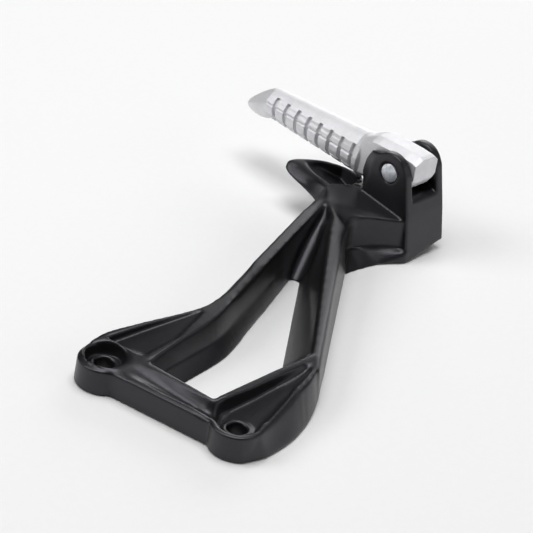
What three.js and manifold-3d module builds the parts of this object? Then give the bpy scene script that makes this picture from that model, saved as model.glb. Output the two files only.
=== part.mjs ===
// Folding passenger foot peg on its hanger bracket, in millimetres, +Z up.
//
// The bracket lies on its mounting face (z = 0). +X runs from the two frame bolts to the clevis and is
// also the peg's pivot axis. +Y is the way the folded peg points. The peg swings up from +Y towards +Z.
// Everything is laid out from the point of the mounting face under the middle of the pivot pin, and the
// finished group is then moved so that its origin is the bottom centre of its bounding box.
import * as THREE from "three";
import { mergeVertices } from "three/addons/utils/BufferGeometryUtils.js";
import Module from "manifold-3d";

const wasm = await Module();
wasm.setup();

// Driving dimensions.
const PIN_HEIGHT = 42.7; // pivot axis above the mounting face
const PIN_RADIUS = 4;
const PIN_HEAD_RADIUS = 5;
const RUNNING_GAP = 0.3; // clearance between separate pieces
const BOLT_A = [-218, -13];
const BOLT_B = [-205, -83];
const BOLT_HOLE_RADIUS = 4.5; // M8 clearance
const BOLT_SEAT_RADIUS = 6.8; // raised ring that the bolt's head clamps on
const BOLT_SEAT_HEIGHT = 10;
const BOLT_RECESS_RADIUS = 8.4;
const BOLT_RECESS_DEPTH = 1.8; // below the top of the seat
const BOSS_RADIUS = 12.3;
const CLEVIS_HALF_WIDTH = 15;
const SLOT_HALF_WIDTH = 9.7;
const CLEVIS_LEAN = THREE.MathUtils.degToRad(13.3); // the ears lean towards the folded peg
const EAR_RADIUS = 10.8;
const EAR_CHAMFER = 3.6; // width of the slope behind each ear's outer face
const SLOT_DEPTH = 12.6; // from the pivot axis to the slot's floor
const TREAD_START = 25; // along the peg, from the pivot axis
const TREAD_END = 93;
const GROOVE_COUNT = 8;
const GROOVE_PITCH = 8.13;
const FIRST_GROOVE = 29.3;
const GROOVE_WIDTH = 2.2;
const GROOVE_DEPTH = { crown: 1, underside: 3 }; // of the grooves across the tread
const ROW_GROOVE_DEPTH = 1.1; // of the lengthwise grooves that part the rows of blocks
const BALL_RADIUS = 2.38; // 3/16 inch steel ball
const BALL_ORBIT = 8; // detent ball's distance from the pivot axis
const BALL_GAP = 0.05; // between the ball, pressed into its bore, and the detent plate
const FOLD_ANGLE = THREE.MathUtils.degToRad(77);
const PLATE_X = [8.6, 9.4]; // detent plate, between the peg's root and the far ear

// Solids.

// A three.js geometry as a manifold-3d solid.
function solid(geometry) {
  const bare = geometry.index ? geometry.toNonIndexed() : geometry.clone();
  bare.deleteAttribute("normal");
  bare.deleteAttribute("uv");
  const merged = mergeVertices(bare, 1e-4);
  return new wasm.Manifold(
    new wasm.Mesh({
      numProp: 3,
      vertProperties: merged.attributes.position.array,
      triVerts: new Uint32Array(merged.index.array),
    }),
  );
}

// A manifold-3d solid back as a three.js geometry.
function geometryOf(body) {
  const mesh = body.getMesh();
  const geometry = new THREE.BufferGeometry();
  geometry.setAttribute("position", new THREE.BufferAttribute(mesh.vertProperties, 3));
  geometry.setIndex(new THREE.BufferAttribute(mesh.triVerts, 1));
  return geometry;
}

// Closed skin over a row of rings, each a list of the same number of [x, y, z] points.
function loft(rings) {
  const count = rings[0].length;
  const points = rings.flat().map((p) => new THREE.Vector3(...p));
  const faces = [];
  for (let r = 0; r + 1 < rings.length; r++) {
    for (let i = 0; i < count; i++) {
      const a = r * count + i;
      const b = r * count + ((i + 1) % count);
      faces.push([a, b, b + count], [a, b + count, a + count]);
    }
  }
  const cap = (first, flip) => {
    const middle = new THREE.Vector3();
    for (let i = 0; i < count; i++) middle.addScaledVector(points[first + i], 1 / count);
    const centre = points.push(middle) - 1;
    for (let i = 0; i < count; i++) {
      const a = first + i;
      const b = first + ((i + 1) % count);
      faces.push(flip ? [centre, b, a] : [centre, a, b]);
    }
  };
  cap(0, true);
  cap((rings.length - 1) * count, false);
  const volume = faces.reduce(
    (sum, [a, b, c]) => sum + points[a].dot(new THREE.Vector3().crossVectors(points[b], points[c])),
    0,
  );
  const outward = volume > 0 ? faces : faces.map(([a, b, c]) => [a, c, b]);
  const geometry = new THREE.BufferGeometry().setFromPoints(points);
  geometry.setIndex(outward.flat());
  return solid(geometry);
}

// Prism on an outline of [x, y] points. Floor and top are heights, or functions of x and y. It stands
// upright, or leans by [dx, dy] for each millimetre of height.
function slab(outline, floor, top, lean = [0, 0]) {
  const shape = new THREE.Shape(outline.map(([x, y]) => new THREE.Vector2(x, y)));
  const geometry = new THREE.ExtrudeGeometry(shape, { depth: 1, bevelEnabled: false });
  const position = geometry.getAttribute("position");
  for (let i = 0; i < position.count; i++) {
    const [x, y] = [position.getX(i), position.getY(i)];
    const level = position.getZ(i) > 0.5 ? top : floor;
    const z = typeof level === "function" ? level(x, y) : level;
    position.setXYZ(i, x + lean[0] * z, y + lean[1] * z, z);
  }
  return solid(geometry);
}

// Cone or cylinder standing on a point of the mounting face's plane.
function upright([x, y], bottom, top, bottomRadius, topRadius = bottomRadius, segments = 32) {
  const geometry = new THREE.CylinderGeometry(topRadius, bottomRadius, top - bottom, segments);
  geometry.rotateX(Math.PI / 2).translate(x, y, (top + bottom) / 2);
  return solid(geometry);
}

// Cylinder along X. Its axis passes through (y, z).
function along(y, z, start, end, radius, segments = 32) {
  const geometry = new THREE.CylinderGeometry(radius, radius, end - start, segments);
  geometry.rotateZ(Math.PI / 2).translate((start + end) / 2, y, z);
  return solid(geometry);
}

// Prism along X on an outline of [y, z] points.
function sideways(outline, start, end) {
  const shape = new THREE.Shape(outline.map(([y, z]) => new THREE.Vector2(y, z)));
  const geometry = new THREE.ExtrudeGeometry(shape, { depth: end - start, bevelEnabled: false });
  geometry.applyMatrix4(new THREE.Matrix4().makeBasis(
    new THREE.Vector3(0, 1, 0),
    new THREE.Vector3(0, 0, 1),
    new THREE.Vector3(1, 0, 0),
  ));
  return solid(geometry.translate(start, 0, 0));
}

// Points of an arc, as [x, y] about a centre, angles in degrees.
function arc([cx, cy], radius, from, to, steps) {
  return Array.from({ length: steps + 1 }, (_, i) => {
    const angle = THREE.MathUtils.degToRad(from + ((to - from) * i) / steps);
    return [cx + radius * Math.cos(angle), cy + radius * Math.sin(angle)];
  });
}

// Smooth line through the given [x, y, z] points, as steps + 1 points of its own.
function flowing(points, steps) {
  const curve = new THREE.CatmullRomCurve3(points.map((p) => new THREE.Vector3(...p)), false, "catmullrom", 0.4);
  return curve.getPoints(steps).map((p) => p.toArray());
}

// Loft over sections that flow into each other, with the given steps from the first to the last.
function flowingLoft(sections, steps) {
  const rails = sections[0].map((_, i) => flowing(sections.map((section) => section[i]), steps));
  return loft(Array.from({ length: steps + 1 }, (_, k) => rails.map((rail) => rail[k])));
}

const join = (bodies) => bodies.reduce((whole, body) => whole.add(body));
const cut = (whole, tools) => tools.reduce((body, tool) => body.subtract(tool), whole);

// Height of the plane through three [x, y, z] points.
function plane(a, b, c) {
  const p = new THREE.Plane().setFromCoplanarPoints(
    new THREE.Vector3(...a),
    new THREE.Vector3(...b),
    new THREE.Vector3(...c),
  );
  return (x, y) => -(p.constant + p.normal.x * x + p.normal.y * y) / p.normal.z;
}

// Bracket.

// Left beam: a wide foot at bolt A that narrows to a tall thin beam and climbs to the neck. The wall
// along the opening is steep above and flares out towards the mounting face.
function leftBeam() {
  const sections = [
    { outer: [-216, -1], inner: [-208, -29], foot: [-205, -37], height: 14.5 },
    { outer: [-206, -1.6], inner: [-199, -28.4], foot: [-196, -36.4], height: 16.2 },
    { outer: [-190, -6.5], inner: [-186.5, -27.5], foot: [-184, -35.4], height: 18 },
    { outer: [-157, -15], inner: [-161, -25], foot: [-158, -31.8], height: 20.5 },
    { outer: [-127, -6.5], inner: [-134, -15.9], foot: [-131, -21.4], height: 22.2 },
    { outer: [-60, 16.4], inner: [-70, 6.2], foot: [-68, 5], height: 25.2 },
    { outer: [-30, 27], inner: [-38, 16], foot: [-37, 15.5], height: 26.3 },
  ];
  const rings = sections.map(({ outer, inner, foot, height }) => [
    [outer[0], outer[1] + 1, 0],
    [outer[0], outer[1], height],
    [...inner, height],
    [inner[0] + (foot[0] - inner[0]) * 0.3, inner[1] + (foot[1] - inner[1]) * 0.3, height * 0.42],
    [...foot, 0],
  ]);
  return flowingLoft(rings, 36);
}

// Right beam: upright outer wall, a narrow ridge, and a long slope down into the opening.
function rightBeam() {
  return loft([
    [[-150.5, -83, 0], [-150.5, -80.6, 17.5], [-144.5, -70.5, 19.5], [-141, -51.6, 0]],
    [[-51, -11.5, 0], [-52.5, -7.5, 24.6], [-50, 4.2, 26], [-44, 21.5, 0]],
  ]);
}

// Front bar between the bolts, with a raised rim along the opening.
function frontBar() {
  return loft([
    [[-225, -20, 0], [-225, -20, 12.5], [-212, -20, 14.5], [-207, -20, 14.5], [-204.5, -20, 0]],
    [[-214, -80, 0], [-214, -80, 12.5], [-205.5, -75, 14.5], [-202.5, -66, 14.5], [-199.5, -64, 0]],
  ]);
}

// Corner block around bolt B. Its outer wall spreads towards the mounting face.
function lowerCorner() {
  const top = plane([-203.5, -65.6, 14.5], [-144.5, -70.2, 19.5], [-207, -95.7, 13]);
  const lift = ([x, y]) => [x, y, top(x, y)];
  const footWall = [[-200, -97.8, 0], [-188, -97.4, 0], [-176, -95, 0], [-156, -86.3, 0], [-138, -74, 0]];
  const rimWall = [...[[-204, -95.2], [-190, -91], [-177.3, -87.4], [-157, -82.2]].map(lift), [-138, -71.3, 18.4]];
  const foot = [...arc([-204.5, -84], 12.4, 150, 235, 5), ...flowing(footWall, 16), [-134, -60], [-198, -61]];
  const rim = [...arc(BOLT_B, BOSS_RADIUS, 150, 235, 5).map(lift), ...flowing(rimWall, 16),
    lift([-144.5, -70.2]), lift([-203.5, -65.6])];
  return loft([foot.map(([x, y]) => [x, y, 0]), rim]);
}

// Recess between the raised rims of the lower corner, deepest beside bolt B.
function lowerPocket() {
  const mouth = [[-209.5, -72.5], [-203, -67.4], [-183, -69.4], [-156, -71.9], [-148.5, -72.6],
    [-150.5, -77.6], [-177, -85.3], [-197, -91.2], [-208, -86]];
  const floor = [[-208, -73.5], [-202.5, -69.2], [-183, -71.9], [-158, -74], [-152, -74.4],
    [-153.5, -76.6], [-177, -84.2], [-196, -89.6], [-206, -84]];
  const depth = plane([-203, -72, 6.5], [-150, -75, 15.5], [-196, -89, 9]);
  return loft([floor.map(([x, y]) => [x, y, depth(x, y)]), mouth.map((p) => [...p, 24])]);
}

// Round-bottomed channel along the front bar that runs out towards bolt A.
function frontChannel() {
  const section = ([x1, y1, z1], [x2, y2, z2], depth) => {
    const bottom = Array.from({ length: 9 }, (_, i) => {
      const t = i / 8;
      const sag = depth * Math.sin(Math.PI * t);
      return [x1 + (x2 - x1) * t, y1 + (y2 - y1) * t, z1 + (z2 - z1) * t - sag];
    });
    return [...bottom, [x2, y2, 20], [x1, y1, 20]];
  };
  return loft([
    section([-220, -27, 13.2], [-209.5, -27, 14.6], 0.6),
    section([-216.5, -48, 12.6], [-206.6, -47, 14.6], 2.6),
    section([-212.3, -69, 12.4], [-204, -66.6, 14.6], 4),
    section([-211.4, -77, 12], [-201.5, -69.2, 13.6], 5.5),
  ]);
}

// Shallow recess behind the raised outer rim between bolt A and the knee of the left beam.
function upperPocket() {
  const mouth = [[-209, -4.6], [-190, -9], [-163, -16.4], [-163, -18.5], [-186, -25], [-205, -24]];
  const depth = plane([-209, -4.6, 11.6], [-163, -16.4, 19.4], [-203, -26, 14.6]);
  return slab(mouth, depth, 24);
}

// Neck between the beams and the clevis. Its outer side is undercut above a thin spreading foot.
function neck() {
  const top = plane([-15, 15.6, 26.3], [-15, -11.2, 22.6], [-52, -8, 24.4]);
  const crown = slab(
    [[-60, -12.5], [-50, -7.5], [-45.5, -3.4], [-40, -0.6], [-35.5, -0.8], [-28.8, -5], [-15, -15.4],
      [0, -14.9], [0, 16], [-14, 16], [-18, 24], [-30, 27], [-38, 19], [-43, 14], [-50, 4]],
    0,
    top,
  );
  const foot = loft([
    [[-51, -11.5, 0], [-40.5, -12.4, 0], [-28.3, -15.5, 0], [-15.2, -21.4, 0], [14.9, -14, 0],
      [14.9, 16, 0], [-30, 24, 0]],
    [[-50, -9.5, 6], [-38.3, -2.3, 6], [-29.8, -5.2, 6], [-15.2, -20.6, 6], [14.9, -20.6, 6],
      [14.9, 16, 6], [-30, 24, 6]],
  ]);
  return crown.add(foot);
}

// Round end of the opening between the beams. It leans from the mounting face up to the ridge.
function openingEnd() {
  const foot = [-81, -3.2];
  const ridge = [-43.5, 12.6];
  const height = 25.6;
  return slab(
    [...arc(foot, 3.5, 125, -45, 8), [-58, 4], [-62, 12]],
    0,
    height,
    [(ridge[0] - foot[0]) / height, (ridge[1] - foot[1]) / height],
  );
}

// Slope from the ridge at the top of the opening down to the neck's outer ledge.
function neckSlope() {
  const slope = plane([-45.5, -2.8, 21.8], [-15, -14.9, 22], [-40, 12, 26.6]);
  return slab([[-48.5, -9], [-46, 0], [-42, 12], [-30, 14], [-15.2, 4], [-15.2, -20], [-30, -20]], slope, 40);
}

// Side outline of the clevis, as [y, z] points, leaning towards the folded peg. The back of the outline
// is near the pin on the ears' outer faces, and further back between them.
function clevisOutline(back) {
  return [
    [-20.7, 5],
    [-16.6, 24],
    [-11, PIN_HEIGHT + 2.6],
    ...arc([0, PIN_HEIGHT], EAR_RADIUS, 152, 50, 8),
    ...back.map(([y, z]) => [y, PIN_HEIGHT + z]),
    [16.2, 24],
    [16.2, 5],
  ];
}

// Slot for the peg's root. Its floor is square to the leaning ears and rolls off at the front.
function clevisSlot() {
  const up = [Math.sin(CLEVIS_LEAN), Math.cos(CLEVIS_LEAN)];
  const across = [up[1], -up[0]];
  const at = (a, u) => [across[0] * a + up[0] * u, PIN_HEIGHT + across[1] * a + up[1] * u];
  return sideways(
    [at(-16, -18), at(-9, -SLOT_DEPTH), at(30, -SLOT_DEPTH), at(30, 30), at(-30, 30), at(-30, -18)],
    -SLOT_HALF_WIDTH,
    SLOT_HALF_WIDTH,
  );
}

function clevis() {
  const faceBack = [[10.6, 3.4], [11.9, -2.8], [12.5, -9.1], [14.4, -14]];
  const middleBack = [[15.5, 5.3], [18.3, -0.6], [19.3, -8], [17.6, -14.1]];
  const ring = (x, back) => clevisOutline(back).map(([y, z]) => [x, y, z]);
  return loft([
    ring(-CLEVIS_HALF_WIDTH, faceBack),
    ring(-CLEVIS_HALF_WIDTH + EAR_CHAMFER, middleBack),
    ring(CLEVIS_HALF_WIDTH - EAR_CHAMFER, middleBack),
    ring(CLEVIS_HALF_WIDTH, faceBack),
  ]);
}

// Hooked arm that points the same way as the folded peg, with an open pocket in its top.
function horn() {
  const under = [[-30, 24, 12], [-28.6, 35.6, 15], [-28.3, 44, 17.5], [-27.5, 54, 19.5], [-25, 60.2, 21],
    [-16.5, 59.6, 20.5], [-6.6, 51.2, 17], [-0.8, 38.6, 14], [0.5, 20, 10], [-18, 16, 10]];
  const over = [[-29, 27.5, 26], [-25.6, 35.6, 25], [-22.6, 45, 25], [-20.9, 54, 25], [-22.7, 60.6, 25],
    [-15.5, 59.4, 25], [-6.2, 51.4, 25], [-0.5, 38.8, 25], [0, 22, 25.5], [-18, 16, 26]];
  const outline = (points) => [...flowing(points.slice(0, -1), 24), points.at(-1)];
  return loft([outline(under), outline(over)]);
}

function hornPocket() {
  const mouth = [[-24.4, 25.4], [-18.4, 44], [-14.8, 53], [-7.4, 49.6], [-2.4, 38.6], [-5, 23.6], [-18, 22]];
  const floor = plane([-23.2, 28.5, 16.5], [-14.8, 53, 22.4], [-5.6, 24, 14.5]);
  return slab(mouth, floor, 40);
}

function boltBosses() {
  return [
    upright(BOLT_A, 0, 12.5, BOSS_RADIUS + 0.5, BOSS_RADIUS),
    upright([BOLT_A[0] + 2, BOLT_A[1]], 0, 14, BOSS_RADIUS, BOSS_RADIUS - 0.8),
    upright(BOLT_B, 0, 13, BOSS_RADIUS, BOSS_RADIUS),
  ];
}

// Flared recess around the seat of one bolt.
function boltRecess(centre) {
  const floor = BOLT_SEAT_HEIGHT - BOLT_RECESS_DEPTH;
  return upright(centre, floor, floor + 12, BOLT_RECESS_RADIUS, BOLT_RECESS_RADIUS + 2);
}

function boltSeat(centre) {
  return upright(centre, 0, BOLT_SEAT_HEIGHT, BOLT_SEAT_RADIUS + 0.8, BOLT_SEAT_RADIUS);
}

// Through hole of one bolt, with a small chamfer at the seat.
function boltHole(centre) {
  return join([
    upright(centre, -1, BOLT_SEAT_HEIGHT + 1, BOLT_HOLE_RADIUS),
    upright(centre, BOLT_SEAT_HEIGHT - 0.5, BOLT_SEAT_HEIGHT + 0.1, BOLT_HOLE_RADIUS, BOLT_HOLE_RADIUS + 0.6),
  ]);
}

function bracket() {
  const casting = join([
    leftBeam(),
    rightBeam(),
    frontBar(),
    lowerCorner(),
    openingEnd(),
    neck(),
    clevis(),
    horn(),
    ...boltBosses(),
  ]);
  const pinBore = along(0, PIN_HEIGHT, -20, 20, PIN_RADIUS + RUNNING_GAP);
  const headSeat = along(0, PIN_HEIGHT, -20, -12.8, PIN_HEAD_RADIUS + RUNNING_GAP);
  const hollowed = cut(casting, [
    lowerPocket(),
    frontChannel(),
    upperPocket(),
    hornPocket(),
    neckSlope(),
    clevisSlot(),
    boltRecess(BOLT_A),
    boltRecess(BOLT_B),
    pinBore,
    headSeat,
  ]);
  return cut(join([hollowed, boltSeat(BOLT_A), boltSeat(BOLT_B)]), [boltHole(BOLT_A), boltHole(BOLT_B)]);
}

// Peg, in its folded position.

// Corners of the tread's cross-section on one side, from the crown down, as [half width, height].
const ROOT_CORNERS = [[9.6, 42.6], [11.1, 38.8], [10.8, 35], [9.5, 31.5], [5.2, 27.6]];
const TIP_CORNERS = [[6.9, 44.1], [8.9, 41.4], [8.5, 38.4], [7.3, 34.3], [4.2, 31.4]];
const ROOT_TOP = 49.9;
const TIP_TOP = 47.2;

// A size of the tread at a distance along the peg, from its values at the root and at the tip.
function treadSize(y, root, tip) {
  return THREE.MathUtils.mapLinear(y, TREAD_START, TREAD_END, root, tip);
}

function treadCorner(y, i) {
  const [[rootX, rootZ], [tipX, tipZ]] = [ROOT_CORNERS[i], TIP_CORNERS[i]];
  return [treadSize(y, rootX, tipX), treadSize(y, rootZ, tipZ)];
}

// Cross-section of the tread as a ring of points: a round crown over faceted sides.
function treadSection(y) {
  const corners = ROOT_CORNERS.map((_, i) => treadCorner(y, i));
  const top = treadSize(y, ROOT_TOP, TIP_TOP);
  const [halfChord, springing] = corners[0];
  const rise = top - springing;
  const radius = (halfChord ** 2 + rise ** 2) / (2 * rise);
  const swing = THREE.MathUtils.radToDeg(Math.asin(halfChord / radius));
  const crown = arc([0, top - radius], radius, 90 - swing, 90 + swing, 10);
  const left = corners.slice(1).map(([x, z]) => [-x, z]);
  const right = corners.slice(1).reverse();
  return [...crown, ...left, ...right].map(([x, z]) => [x, y, z]);
}

// Cross-section of what is left inside the grooves, which get deeper from the crown to the underside.
function grooveFloor(y) {
  const [, bottom] = treadCorner(y, ROOT_CORNERS.length - 1);
  const top = treadSize(y, ROOT_TOP, TIP_TOP);
  const { crown, underside } = GROOVE_DEPTH;
  return treadSection(y).map(([x, , z]) => {
    const low = (top - z) / (top - bottom);
    const depth = crown + (underside - crown) * low;
    return [x - Math.sign(x) * depth, y, z + depth * (2 * low - 1)];
  });
}

// One groove across the underside and sides of the tread, up to just above the crown's edge.
function treadGroove(y) {
  const start = y - GROOVE_WIDTH / 2;
  const end = y + GROOVE_WIDTH / 2;
  const upper = treadSize(y, 44.6, 45.6);
  const frame = (at) => [[-20, at, 20], [-20, at, upper], [20, at, upper], [20, at, 20]];
  const core = loft([grooveFloor(start - 1), grooveFloor(end + 1)]);
  return loft([frame(start), frame(end)]).subtract(core);
}

// V-shaped groove along one corner of the tread, on the side of the given sign.
function rowGroove(corner, sign) {
  const diamond = (y) => {
    const [x, z] = treadCorner(y, corner);
    return [[1, 0], [0, 1], [-1, 0], [0, -1]].map(([dx, dz]) => [
      sign * x + dx * ROW_GROOVE_DEPTH,
      y,
      z + dz * ROW_GROOVE_DEPTH,
    ]);
  };
  return loft([diamond(TREAD_START - 1), diamond(TREAD_END + 1)]);
}

function pegTread() {
  const grooves = Array.from({ length: GROOVE_COUNT }, (_, i) => treadGroove(FIRST_GROOVE + i * GROOVE_PITCH));
  const rows = [1, 3].flatMap((corner) => [rowGroove(corner, 1), rowGroove(corner, -1)]);
  return cut(loft([treadSection(TREAD_START), treadSection(TREAD_END)]), [...grooves, ...rows]);
}

// Slightly proud ring between the neck and the tread.
function pegCollar() {
  const middle = (ROOT_TOP + ROOT_CORNERS.at(-1)[1]) / 2;
  const ring = (y, growth) => {
    const scale = 1 + growth / ROOT_CORNERS[1][0];
    return treadSection(TREAD_START).map(([x, , z]) => [x * scale, y, middle + (z - middle) * scale]);
  };
  return loft([
    ring(TREAD_START - 1.2, -0.8),
    ring(TREAD_START - 0.4, 0.6),
    ring(TREAD_START + 1.6, 0.6),
    ring(TREAD_START + 2.4, 0),
  ]);
}

// Nose beyond the tread: narrows in plan and drops to a lip on the tread side.
function pegNose() {
  const stage = (y, halfWidth, top, bottom) => {
    const side = [[0.55, 0.16], [1, 0.42], [1, 0.62], [0.82, 0.86], [0.5, 1]];
    const crown = [[-0.3, 0.03], [0, 0], [0.3, 0.03]].reverse();
    const level = (depth) => top + (bottom - top) * depth;
    return [
      ...crown,
      ...side.map(([x, depth]) => [-x, depth]),
      ...side.map(([x, depth]) => [x, depth]).reverse(),
    ].map(([x, depth]) => [x * halfWidth, y, level(depth)]);
  };
  return loft([
    stage(TREAD_END - 2, 7.6, 47, 31),
    stage(TREAD_END + 1, 8, 47.1, 30),
    stage(TREAD_END + 5, 7.6, 44.8, 29),
    stage(TREAD_END + 10, 6.2, 41, 28.8),
    stage(TREAD_END + 15, 3.9, 36.6, 29.2),
    stage(TREAD_END + 17.6, 1.8, 33.6, 30.4),
  ]);
}

// Neck and pivot block of the peg. The block's square end is the stop of the opened peg.
function pegRoot() {
  const right = PLATE_X[0] - RUNNING_GAP;
  const left = -SLOT_HALF_WIDTH + 0.4;
  const ring = (y, top, bottom, width = 5.4, drop = 2.2) => [
    [left, y, bottom + 2],
    [left, y, top - drop],
    [left + width, y, top],
    [right - 3, y, top],
    [right, y, top - drop],
    [right, y, bottom + 2],
    [right - 2, y, bottom],
    [left + 2, y, bottom],
  ];
  return loft([
    ring(-12, 52.1, 40.4),
    ring(-9.5, 53, 36.4),
    ring(-4, 53.5, 33.4),
    ring(4, 53.7, 32.2),
    ring(14, 53.8, 30.4),
    ring(18, 53.4, 29.8),
    ring(21.5, 51.6, 29.2, 5, 3),
    ring(TREAD_START + 0.5, 49.6, 28.8, 4.4, 3.6),
  ]);
}

function peg() {
  const body = join([pegTread(), pegCollar(), pegNose(), pegRoot()]);
  return cut(body, [
    along(0, PIN_HEIGHT, -20, 20, PIN_RADIUS + RUNNING_GAP),
    along(-BALL_ORBIT, PIN_HEIGHT, -2.2, 20, BALL_RADIUS + 0.25, 20),
  ]);
}

// Pivot hardware.

function pivotPin() {
  const head = along(0, PIN_HEIGHT, -CLEVIS_HALF_WIDTH + 0.2, -13.1, PIN_HEAD_RADIUS);
  const shank = along(0, PIN_HEIGHT, -13.5, 19.2, PIN_RADIUS);
  const groove = along(0, PIN_HEIGHT, 16.9, 18, 6).subtract(along(0, PIN_HEIGHT, 16, 19, 3));
  return head.add(shank).subtract(groove);
}

function plainWasher() {
  return along(0, PIN_HEIGHT, 15.3, 16.6, 7.5).subtract(along(0, PIN_HEIGHT, 15, 17, PIN_RADIUS + 0.3));
}

// Snap ring with three inner teeth and an open mouth, pushed into the pin's groove.
function retainingClip() {
  const outline = [...arc([0, 0], 6.4, 30, 330, 20), ...arc([0, 0], 4.6, 325, 285, 3),
    ...arc([0, 0], 3.3, 280, 260, 2), ...arc([0, 0], 4.6, 255, 195, 4), ...arc([0, 0], 3.3, 190, 170, 2),
    ...arc([0, 0], 4.6, 165, 105, 4), ...arc([0, 0], 3.3, 100, 80, 2), ...arc([0, 0], 4.6, 75, 35, 3)];
  const turned = outline.map(([y, z]) => [-z, PIN_HEIGHT + y]);
  return sideways(turned, 17.1, 17.8);
}

// Steel plate on the far ear with one hole for the ball at each end of the fold.
function detentPlate() {
  const opened = [-BALL_ORBIT * Math.cos(FOLD_ANGLE), -BALL_ORBIT * Math.sin(FOLD_ANGLE)];
  const lobes = [[0, 0, 6.8], [-BALL_ORBIT, 0, 3.2], [opened[0], opened[1], 3.2]];
  const disc = ([y, z, radius]) => along(y, PIN_HEIGHT + z, ...PLATE_X, radius, 28);
  const web = sideways(
    [[-9.6, PIN_HEIGHT + 1], [-7, PIN_HEIGHT - 5.8], [opened[0], PIN_HEIGHT - 9.5], [4, PIN_HEIGHT - 6],
      [3, PIN_HEIGHT + 5], [-7.5, PIN_HEIGHT + 3]],
    ...PLATE_X,
  );
  return cut(join([...lobes.map(disc), web]), [
    along(0, PIN_HEIGHT, 0, 20, PIN_RADIUS + RUNNING_GAP),
    along(-BALL_ORBIT, PIN_HEIGHT, 0, 20, 1.9, 20),
    along(opened[0], PIN_HEIGHT + opened[1], 0, 20, 1.9, 20),
  ]);
}

// Ball, pressed into the peg's bore until it just clears the plate.
function detentBall() {
  const geometry = new THREE.SphereGeometry(BALL_RADIUS, 20, 12);
  return solid(geometry.translate(PLATE_X[0] - BALL_RADIUS - BALL_GAP, -BALL_ORBIT, PIN_HEIGHT));
}

// Coil spring behind the ball, in the blind bore of the peg's root.
function detentSpring() {
  const start = -1.7;
  const length = 5.5;
  const turns = 5;
  class Coil extends THREE.Curve {
    getPoint(t, target = new THREE.Vector3()) {
      const angle = 2 * Math.PI * turns * t;
      return target.set(
        start + length * t,
        -BALL_ORBIT + 1.9 * Math.cos(angle),
        PIN_HEIGHT + 1.9 * Math.sin(angle),
      );
    }
  }
  const wire = new THREE.Shape(arc([0, 0], 0.3, 0, 300, 5).map(([x, y]) => new THREE.Vector2(x, y)));
  return solid(new THREE.ExtrudeGeometry(wire, { extrudePath: new Coil(), steps: 60, bevelEnabled: false }));
}

// Assembly.

const paint = { color: 0x17181a, roughness: 0.5, metalness: 0.1 };
const bareAluminium = { color: 0xc9cacc, roughness: 0.4, metalness: 0.9 };
const zinc = { color: 0xb9bec4, roughness: 0.3, metalness: 1 };
const springSteel = { color: 0x6d7075, roughness: 0.35, metalness: 1 };

const footPeg = new THREE.Group();

function addPart(name, body, finish) {
  const mesh = new THREE.Mesh(geometryOf(body), new THREE.MeshStandardMaterial(finish));
  mesh.name = name;
  footPeg.add(mesh);
}

addPart("hanger_bracket", bracket(), paint);
addPart("foot_peg", peg(), bareAluminium);
addPart("pivot_pin", pivotPin(), zinc);
addPart("plain_washer", plainWasher(), zinc);
addPart("retaining_clip", retainingClip(), springSteel);
addPart("detent_plate", detentPlate(), springSteel);
addPart("detent_ball", detentBall(), zinc);
addPart("detent_spring", detentSpring(), springSteel);

const box = new THREE.Box3().setFromObject(footPeg);
const middle = box.getCenter(new THREE.Vector3());
footPeg.position.set(-middle.x, -middle.y, -box.min.z);

export default footPeg;
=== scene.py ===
"""Folding passenger foot peg on its hanger bracket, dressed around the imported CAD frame.

The castings are the CAD solids with their edges and corners rounded, as cast metal is. The pivot hardware is
turned or stamped metal with broken edges. Lengths are in metres unless a comment says otherwise.
"""

import math

import bmesh
import bpy
from mathutils import Matrix, Vector


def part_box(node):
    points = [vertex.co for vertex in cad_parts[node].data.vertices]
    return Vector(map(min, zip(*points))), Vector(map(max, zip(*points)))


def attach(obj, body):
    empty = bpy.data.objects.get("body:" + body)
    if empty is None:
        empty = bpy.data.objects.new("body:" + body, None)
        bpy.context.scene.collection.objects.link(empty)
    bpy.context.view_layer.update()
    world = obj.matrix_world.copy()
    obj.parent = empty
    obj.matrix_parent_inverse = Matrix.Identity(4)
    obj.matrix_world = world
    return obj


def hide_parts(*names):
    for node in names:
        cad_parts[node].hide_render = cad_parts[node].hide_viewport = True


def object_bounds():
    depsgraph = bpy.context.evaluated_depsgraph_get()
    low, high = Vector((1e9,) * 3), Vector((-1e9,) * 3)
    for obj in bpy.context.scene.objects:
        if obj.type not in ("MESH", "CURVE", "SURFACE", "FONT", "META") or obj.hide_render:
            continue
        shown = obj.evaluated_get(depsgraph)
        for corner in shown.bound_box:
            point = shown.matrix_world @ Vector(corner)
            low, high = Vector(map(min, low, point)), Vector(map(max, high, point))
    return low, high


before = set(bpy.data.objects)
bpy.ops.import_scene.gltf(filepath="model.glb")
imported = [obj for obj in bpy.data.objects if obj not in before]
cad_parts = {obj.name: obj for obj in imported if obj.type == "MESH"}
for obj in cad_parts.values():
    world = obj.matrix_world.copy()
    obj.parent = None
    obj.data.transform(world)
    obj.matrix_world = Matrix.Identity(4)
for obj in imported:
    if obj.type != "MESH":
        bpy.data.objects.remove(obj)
cad_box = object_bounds()

MM = 0.001

# Camera, on the photograph's line of sight.
CAMERA_AIM = Vector((0.0263, 0.0100, 0.0))  # where the middle of the picture meets the floor
CAMERA_DISTANCE = 1.0
CAMERA_AZIMUTH = math.radians(-51.3)
CAMERA_ELEVATION = math.radians(29.5)
CAMERA_ROLL = math.radians(9.6)
CAMERA_SENSOR = 36.0  # millimetres
CAMERA_LENS = 135.1  # millimetres

# Pivot axis, from the pin, and the point of the mounting face under the middle of the ears.
PIN_LOW, PIN_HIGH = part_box("pivot_pin")
PIN_AXIS = (PIN_LOW + PIN_HIGH) / 2
PIVOT_FOOT = Vector((105.8 * MM, PIN_AXIS.y, 0))

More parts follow.
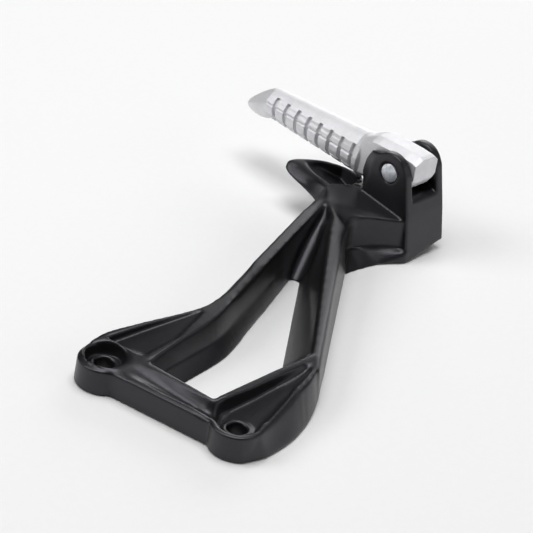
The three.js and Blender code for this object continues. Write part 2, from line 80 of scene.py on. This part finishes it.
# Where the castings' surfaces flow into each other without an edge: x, y, z from PIVOT_FOOT and the reach, in
# millimetres.
BRACKET_SOFT_SPOTS = [
    (-46, 4, 25, 16),  # where both beams run into the neck
    (-43, 15, 25, 12),
    (-214, -22, 14, 13),  # where the left pocket runs into the front channel
    (-208, -71, 13, 9),  # end of the front channel
    (-203, -70, 11, 7),
    (-150, -80, 8, 22),  # outer wall from the lower corner to the right beam
    (-185, -95, 8, 22),
    (-130, -12, 14, 22),  # knee of the left beam
    (-26, 48, 18, 22),  # side of the horn
    (-26, -14, 4, 13),  # foot below the neck's ledge
    # Outer slope of the right beam.
    *[(-150 + 7 * i, -80 + 5.2 * i, 17.5 + 0.5 * i, 12) for i in range(1, 15)],
]
PEG_SOFT_SPOTS = [
    (0, 19, 46, 11),  # neck of the peg
    (0, 100, 40, 12),  # nose
]

# Skin of the castings: the size of its faces, and the rounds of smoothing.
BRACKET_SKIN, BRACKET_ROUNDS = 0.4 * MM, 42
PEG_SKIN, PEG_ROUNDS = 0.25 * MM, 3
SOFTEN_ROUNDS = 200  # at the soft spots
SMOOTH_FACTOR = 0.5  # how far a vertex moves towards its neighbours in one round

TURNED_SEGMENTS = 96
STAMPED_CLIP_EDGE = 0.1 * MM
STAMPED_PLATE_EDGE = 0.12 * MM


# Node materials.


class Nodes:
    """Small helper that adds and links shader nodes of one material."""

    def __init__(self, name):
        self.material = bpy.data.materials.new(name)
        self.material.use_nodes = True
        self.tree = self.material.node_tree
        self.shader = self.tree.nodes["Principled BSDF"]
        self.place = self.add("ShaderNodeTexCoord").outputs["Object"]

    def add(self, kind, **inputs):
        node = self.tree.nodes.new(kind)
        for name, value in inputs.items():
            self.put(node.inputs[name.replace("_", " ")], value)
        return node

    def put(self, socket, value):
        """Links a socket to an input, or sets the input to a constant."""
        if isinstance(value, bpy.types.NodeSocket):
            self.tree.links.new(value, socket)
        else:
            socket.default_value = value

    def noise(self, scale, detail=2.0, roughness=0.5, place=None):
        """Noise whose blotches are about 1/scale metres across."""
        node = self.add("ShaderNodeTexNoise", Scale=scale, Detail=detail, Roughness=roughness)
        self.put(node.inputs["Vector"], place or self.place)
        return node.outputs["Fac"]

    def span(self, value, low, high, start=0.3, end=0.7):
        """Maps value from start..end to low..high."""
        node = self.add("ShaderNodeMapRange")
        self.put(node.inputs["Value"], value)
        for name, number in zip(("From Min", "From Max", "To Min", "To Max"), (start, end, low, high)):
            node.inputs[name].default_value = number
        return node.outputs["Result"]

    def mix(self, factor, first, second):
        node = self.tree.nodes.new("ShaderNodeMix")
        node.data_type = "RGBA"
        self.put(node.inputs["Factor"], factor)
        colours = [s for s in node.inputs if s.type == "RGBA"]
        self.put(colours[0], first)
        self.put(colours[1], second)
        return [s for s in node.outputs if s.type == "RGBA"][0]

    def bump(self, height, strength, distance, normal=None):
        node = self.add("ShaderNodeBump", Strength=strength, Distance=distance)
        self.put(node.inputs["Height"], height)
        if normal:
            self.put(node.inputs["Normal"], normal)
        return node.outputs["Normal"]

    def stretched(self, scale):
        """The object's coordinates, scaled along each axis."""
        node = self.add("ShaderNodeMapping", Scale=scale)
        self.put(node.inputs["Vector"], self.place)
        return node.outputs["Vector"]

    def finish(self, colour, roughness, normal, **constants):
        self.put(self.shader.inputs["Base Color"], colour)
        self.put(self.shader.inputs["Roughness"], roughness)
        self.put(self.shader.inputs["Normal"], normal)
        for name, value in constants.items():
            self.shader.inputs[name.replace("_", " ")].default_value = value
        return self.material


def grey(value, blue=1.0):
    """A grey, with its blue multiplied by the tint."""
    return (value, value, value * blue, 1.0)


def black_coating():
    """Satin black powder coat with a faint orange-peel relief and a fine grain."""
    n = Nodes("black_coating")
    mottle = n.noise(90, detail=3)
    grain = n.noise(1700, detail=3)
    peel = n.noise(750, detail=2)
    colour = n.mix(n.span(mottle, 0, 1), grey(0.005, 1.1), grey(0.008, 1.1))
    roughness = n.span(grain, 0.28, 0.42)
    normal = n.bump(peel, 0.10, 0.0002)
    normal = n.bump(grain, 0.5, 0.00011, normal)
    return n.finish(colour, roughness, normal, Specular_IOR_Level=0.55, Specular_Tint=(0.93, 0.91, 1.0, 1))


def cast_aluminium():
    """Bare cast aluminium: bright and slightly cloudy, with fine pitting whose hollows carry painted shade,
    and a fine grain.
    """
    n = Nodes("peg_aluminium")
    cloud = n.noise(160, detail=4, roughness=0.6)
    grain = n.noise(3400, detail=2)
    pit_relief_and_painted_shade = n.noise(1300, detail=3, roughness=0.7)
    colour = n.mix(n.span(cloud, 0, 1), grey(0.72, 1.03), grey(0.80, 1.03))
    # The low spots of the pit relief are painted darker grey: painted shade in the pits.
    colour = n.mix(n.span(pit_relief_and_painted_shade, 0.5, 0, 0.28, 0.40), colour, grey(0.45))
    roughness = n.span(grain, 0.48, 0.62)
    normal = n.bump(pit_relief_and_painted_shade, 0.22, 0.0002)
    normal = n.bump(grain, 0.2, 0.00006, normal)
    return n.finish(colour, roughness, normal, Metallic=0.6)


def zinc_plate():
    """Clear zinc plate on turned steel: blotchy reflections and a fine grain."""
    n = Nodes("zinc_plate")
    blotch = n.noise(420, detail=4, roughness=0.65)
    grain = n.noise(5200, detail=1)
    colour = n.mix(n.span(blotch, 0, 1), (0.50, 0.53, 0.58, 1), (0.86, 0.89, 0.93, 1))
    roughness = n.span(blotch, 0.42, 0.24)
    normal = n.bump(blotch, 0.35, 0.0002)
    normal = n.bump(grain, 0.15, 0.00003, normal)
    return n.finish(colour, roughness, normal, Metallic=1.0)


def spring_steel():
    """Dark oiled spring steel with long rolling marks."""
    n = Nodes("spring_steel")
    marks = n.noise(900, detail=3, place=n.stretched((1.0, 0.08, 1.0)))
    cloud = n.noise(300, detail=3)
    colour = n.mix(n.span(cloud, 0, 1), grey(0.22, 1.04), grey(0.36, 1.04))
    roughness = n.span(marks, 0.28, 0.42)
    return n.finish(colour, roughness, n.bump(marks, 0.15, 0.00004), Metallic=1.0)


def bearing_steel():
    """Ground and polished ball with a trace of grease."""
    n = Nodes("bearing_steel")
    smear = n.noise(600, detail=3)
    colour = n.mix(n.span(smear, 0, 1), grey(0.70, 1.02), grey(0.82, 1.02))
    return n.finish(colour, n.span(smear, 0.08, 0.2), n.bump(smear, 0.04, 0.00004), Metallic=1.0)


def floor_material():
    """Seamless white studio paper."""
    n = Nodes("studio_paper")
    fibre = n.noise(260, detail=3)
    colour = n.mix(n.span(fibre, 0, 1), grey(0.895), grey(0.905))
    return n.finish(colour, 0.9, n.bump(fibre, 0.02, 0.0001), Specular_IOR_Level=0.1)


MATERIALS = {
    "black_coating": black_coating(),
    "peg_aluminium": cast_aluminium(),
    "zinc_plate": zinc_plate(),
    "spring_steel": spring_steel(),
    "bearing_steel": bearing_steel(),
}


# Pieces.


def place(name, mesh, slot, node, body):
    """Adds a mesh as a piece that stands for a CAD node and rides on its body."""
    piece = bpy.data.objects.new(name, mesh)
    bpy.context.scene.collection.objects.link(piece)
    mesh.materials.clear()
    mesh.materials.append(MATERIALS[slot])
    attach(piece, body)
    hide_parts(node)
    return piece


def applied(piece):
    """Replaces a piece's mesh by what its modifiers make of it."""
    bpy.context.view_layer.update()
    graph = bpy.context.evaluated_depsgraph_get()
    made = bpy.data.meshes.new_from_object(piece.evaluated_get(graph))
    piece.modifiers.clear()
    piece.data = made
    return piece


def relax(piece, rounds, group=None):
    """Adds a smoothing modifier, over the whole piece or weighted by one of its vertex groups."""
    modifier = piece.modifiers.new("relax", "SMOOTH")
    modifier.factor = SMOOTH_FACTOR
    modifier.iterations = rounds
    if group:
        modifier.vertex_group = group.name


def soften(piece, spots):
    """Relaxes the skin further around the soft spots, fully within half of their reach."""
    centres = [(PIVOT_FOOT + Vector((x, y, z)) * MM, reach * MM) for x, y, z, reach in spots]
    group = piece.vertex_groups.new(name="soft")
    for vertex in piece.data.vertices:
        near = max(1 - (vertex.co - centre).length / reach for centre, reach in centres)
        if near > 0:
            group.add([vertex.index], min(1, 2 * near), "REPLACE")
    relax(piece, SOFTEN_ROUNDS, group)
    applied(piece)


def casting(node, name, slot, body, voxel, rounds, soft_spots):
    """A CAD solid as a casting: an even skin of small faces, relaxed until its edges are round."""
    piece = place(name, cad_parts[node].data.copy(), slot, node, body)
    remesh = piece.modifiers.new("skin", "REMESH")
    remesh.mode = "VOXEL"
    remesh.voxel_size = voxel
    relax(piece, rounds)
    applied(piece)
    soften(piece, soft_spots)
    for polygon in piece.data.polygons:
        polygon.use_smooth = True
    return piece


def lathe(profile):
    """Mesh turned about the pivot axis from (x, radius) pairs, closed on the axis at radius 0."""
    mesh = bpy.data.meshes.new("turned")
    bm = bmesh.new()
    rings = []
    for x, radius in profile:
        centre = Vector((x, PIN_AXIS.y, PIN_AXIS.z))
        if radius == 0:
            rings.append([bm.verts.new(centre)])
            continue
        ring = []
        for i in range(TURNED_SEGMENTS):
            turn = 2 * math.pi * i / TURNED_SEGMENTS
            ring.append(bm.verts.new(centre + radius * Vector((0, math.cos(turn), math.sin(turn)))))
        rings.append(ring)
    for first, second in zip(rings, rings[1:]):
        for i in range(TURNED_SEGMENTS):
            corners = [
                first[i % len(first)],
                second[i % len(second)],
                second[(i + 1) % len(second)],
                first[(i + 1) % len(first)],
            ]
            bm.faces.new(list(dict.fromkeys(corners)))  # a single vertex on the axis counts once
    bmesh.ops.recalc_face_normals(bm, faces=bm.faces)
    for face in bm.faces:
        face.smooth = True
    bm.to_mesh(mesh)
    bm.free()
    return mesh


def rounded(start, end, radius, edge):
    """Profile of a disc or head from x = start to end, with both outer corners rounded."""
    steps = 4
    points = []
    for centre, first in ((start + edge, 180), (end - edge, 90)):
        for i in range(steps + 1):
            angle = math.radians(first - 90 * i / steps)
            points.append((centre + edge * math.cos(angle), radius - edge + edge * math.sin(angle)))
    return points


def pivot_pin():
    """Headed pin. The head's face is slightly crowned, and its far end holds the clip's groove."""
    head_radius, shank_radius, groove_radius = 5.0 * MM, 4.0 * MM, 3.0 * MM
    crown_radius, crown_rise = 4.4 * MM, 0.15 * MM
    chamfer = 0.5 * MM
    head_start, end = PIN_LOW.x, PIN_HIGH.x
    head_end = head_start + 1.7 * MM
    groove_start = end - 2.3 * MM
    groove_end = groove_start + 1.1 * MM
    crown = [(head_start - crown_rise * math.cos(math.pi / 2 * t), crown_radius * t) for t in (0, 0.35, 0.7)]
    profile = [
        *crown,
        *rounded(head_start, head_end, head_radius, 0.35 * MM),
        (head_end, shank_radius),
        (groove_start, shank_radius),
        (groove_start, groove_radius),
        (groove_end, groove_radius),
        (groove_end, shank_radius),
        (end - chamfer, shank_radius),
        (end, shank_radius - chamfer),
        (end, 0),
    ]
    return place("pivot_pin_turned", lathe(profile), "zinc_plate", "pivot_pin", "hanger")


def plain_washer():
    """Stamped washer with broken outer edges."""
    low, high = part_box("plain_washer")
    outer = (high.z - low.z) / 2
    bore = outer - 3.2 * MM
    profile = [*rounded(low.x, high.x, outer, 0.2 * MM), (high.x, bore), (low.x, bore)]
    profile.append(profile[0])
    return place("washer_stamped", lathe(profile), "zinc_plate", "plain_washer", "hanger")


def bevelled(node, name, slot, body, width):
    """A stamped CAD piece with its edges broken."""
    piece = place(name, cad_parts[node].data.copy(), slot, node, body)
    bm = bmesh.new()
    bm.from_mesh(piece.data)
    bmesh.ops.remove_doubles(bm, verts=bm.verts, dist=1e-6)
    bmesh.ops.dissolve_limit(bm, angle_limit=math.radians(1), verts=bm.verts, edges=bm.edges)
    bm.to_mesh(piece.data)
    bm.free()
    bevel = piece.modifiers.new("edges", "BEVEL")
    bevel.width = width
    bevel.segments = 2
    bevel.limit_method = "ANGLE"
    bevel.angle_limit = math.radians(40)
    return applied(piece)


def ball():
    """Ground ball."""
    low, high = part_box("detent_ball")
    mesh = bpy.data.meshes.new("ball")
    bm = bmesh.new()
    bmesh.ops.create_icosphere(bm, subdivisions=5, radius=(high.x - low.x) / 2)
    bmesh.ops.translate(bm, verts=bm.verts, vec=(low + high) / 2)
    for face in bm.faces:
        face.smooth = True
    bm.to_mesh(mesh)
    bm.free()
    return place("detent_ball_ground", mesh, "bearing_steel", "detent_ball", "ball")


def spring():
    """Coil spring of six turns, whose end turns are closed."""
    low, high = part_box("detent_spring")
    wire = 0.3 * MM  # radius
    centre = (low + high) / 2
    radius = (high.z - low.z) / 2 - wire
    turns, points_per_turn = 6, 20
    end_share = 1 / turns  # of the wire, in each closed end turn
    steady_rise = 0.12  # share of the spring's length that rises evenly, and the rest between the end turns
    curve = bpy.data.curves.new("coil", "CURVE")
    curve.dimensions = "3D"
    curve.bevel_depth = wire
    curve.bevel_resolution = 3
    curve.use_fill_caps = True
    spline = curve.splines.new("POLY")
    count = turns * points_per_turn
    spline.points.add(count)
    for i in range(count + 1):
        t = i / count
        angle = 2 * math.pi * turns * t
        opened = min(max((t - end_share) / (1 - 2 * end_share), 0), 1)
        lift = steady_rise * t + (1 - steady_rise) * opened
        x = low.x + wire + (high.x - low.x - 2 * wire) * lift
        y = centre.y + radius * math.cos(angle)
        z = centre.z + radius * math.sin(angle)
        spline.points[i].co = (x, y, z, 1)
    coil = bpy.data.objects.new("coil", curve)
    bpy.context.scene.collection.objects.link(coil)
    bpy.context.view_layer.update()
    graph = bpy.context.evaluated_depsgraph_get()
    mesh = bpy.data.meshes.new_from_object(coil.evaluated_get(graph))
    bpy.data.objects.remove(coil)
    return place("detent_spring_wound", mesh, "spring_steel", "detent_spring", "peg")


casting(
    "hanger_bracket",
    "bracket_casting",
    "black_coating",
    "hanger",
    BRACKET_SKIN,
    BRACKET_ROUNDS,
    BRACKET_SOFT_SPOTS,
)
casting("foot_peg", "peg_casting", "peg_aluminium", "peg", PEG_SKIN, PEG_ROUNDS, PEG_SOFT_SPOTS)
pivot_pin()
plain_washer()
bevelled("retaining_clip", "clip_stamped", "spring_steel", "hanger", STAMPED_CLIP_EDGE)
bevelled("detent_plate", "plate_stamped", "spring_steel", "hanger", STAMPED_PLATE_EDGE)
ball()
spring()


# Studio.

FLOOR_REACH = 4.0
FLOOR_GAP = 0.05 * MM
LIGHT_AIM = Vector((0, 0, 0.02))
HORIZON_END, ZENITH_START = 0.35, 0.95  # the tent brightens between these heights on the unit sphere


def floor():
    """Paper floor, a hair below the mounting face."""
    mesh = bpy.data.meshes.new("floor")
    bm = bmesh.new()
    bmesh.ops.create_grid(bm, x_segments=8, y_segments=8, size=FLOOR_REACH)
    bm.to_mesh(mesh)
    bm.free()
    mesh.materials.append(floor_material())
    obj = bpy.data.objects.new("floor", mesh)
    obj.location.z = cad_box[0][2] - FLOOR_GAP
    bpy.context.scene.collection.objects.link(obj)


def softbox(name, position, size, power):
    """White area light aimed at the part, with its size in metres and its power in watts."""
    data = bpy.data.lights.new(name, "AREA")
    data.shape = "RECTANGLE"
    data.size, data.size_y = size
    data.energy = power
    light = bpy.data.objects.new(name, data)
    bpy.context.scene.collection.objects.link(light)
    light.location = position
    direction = LIGHT_AIM - Vector(position)
    light.rotation_euler = direction.to_track_quat("-Z", "Y").to_euler()


def surroundings(low, high):
    """Studio tent: dim near the horizon, bright overhead."""
    world = bpy.data.worlds.new("studio")
    world.use_nodes = True
    tree = world.node_tree
    direction = tree.nodes.new("ShaderNodeTexCoord")
    height = tree.nodes.new("ShaderNodeSeparateXYZ")
    tree.links.new(direction.outputs["Generated"], height.inputs["Vector"])
    fade = tree.nodes.new("ShaderNodeMapRange")
    fade.interpolation_type = "SMOOTHSTEP"
    tree.links.new(height.outputs["Z"], fade.inputs["Value"])
    numbers = {"From Min": HORIZON_END, "From Max": ZENITH_START, "To Min": low, "To Max": high}
    for name, number in numbers.items():
        fade.inputs[name].default_value = number
    tree.links.new(fade.outputs["Result"], tree.nodes["Background"].inputs["Strength"])
    bpy.context.scene.world = world


def camera():
    """Camera on the photograph's line of sight."""
    data = bpy.data.cameras.new("camera")
    data.lens = CAMERA_LENS
    data.sensor_width = CAMERA_SENSOR
    turn = (
        Matrix.Rotation(CAMERA_AZIMUTH, 4, "Z")
        @ Matrix.Rotation(math.pi / 2 - CAMERA_ELEVATION, 4, "X")
        @ Matrix.Rotation(CAMERA_ROLL, 4, "Z")
    )
    obj = bpy.data.objects.new("camera", data)
    bpy.context.scene.collection.objects.link(obj)
    obj.matrix_world = Matrix.Translation(CAMERA_AIM) @ turn @ Matrix.Translation((0, 0, CAMERA_DISTANCE))
    bpy.context.scene.camera = obj


floor()
softbox("key", (-1.1, 0.9, 1.3), (0.9, 0.9), 11.5)
softbox("top", (0.0, 0.1, 1.8), (1.2, 1.2), 22)
softbox("side", (0.7, -1.5, 0.8), (1.8, 1.0), 5)
softbox("right", (1.45, 0.6, 0.55), (1.3, 0.9), 10.5)
surroundings(0.58, 2.25)
camera()
bpy.context.scene.view_settings.view_transform = "Standard"
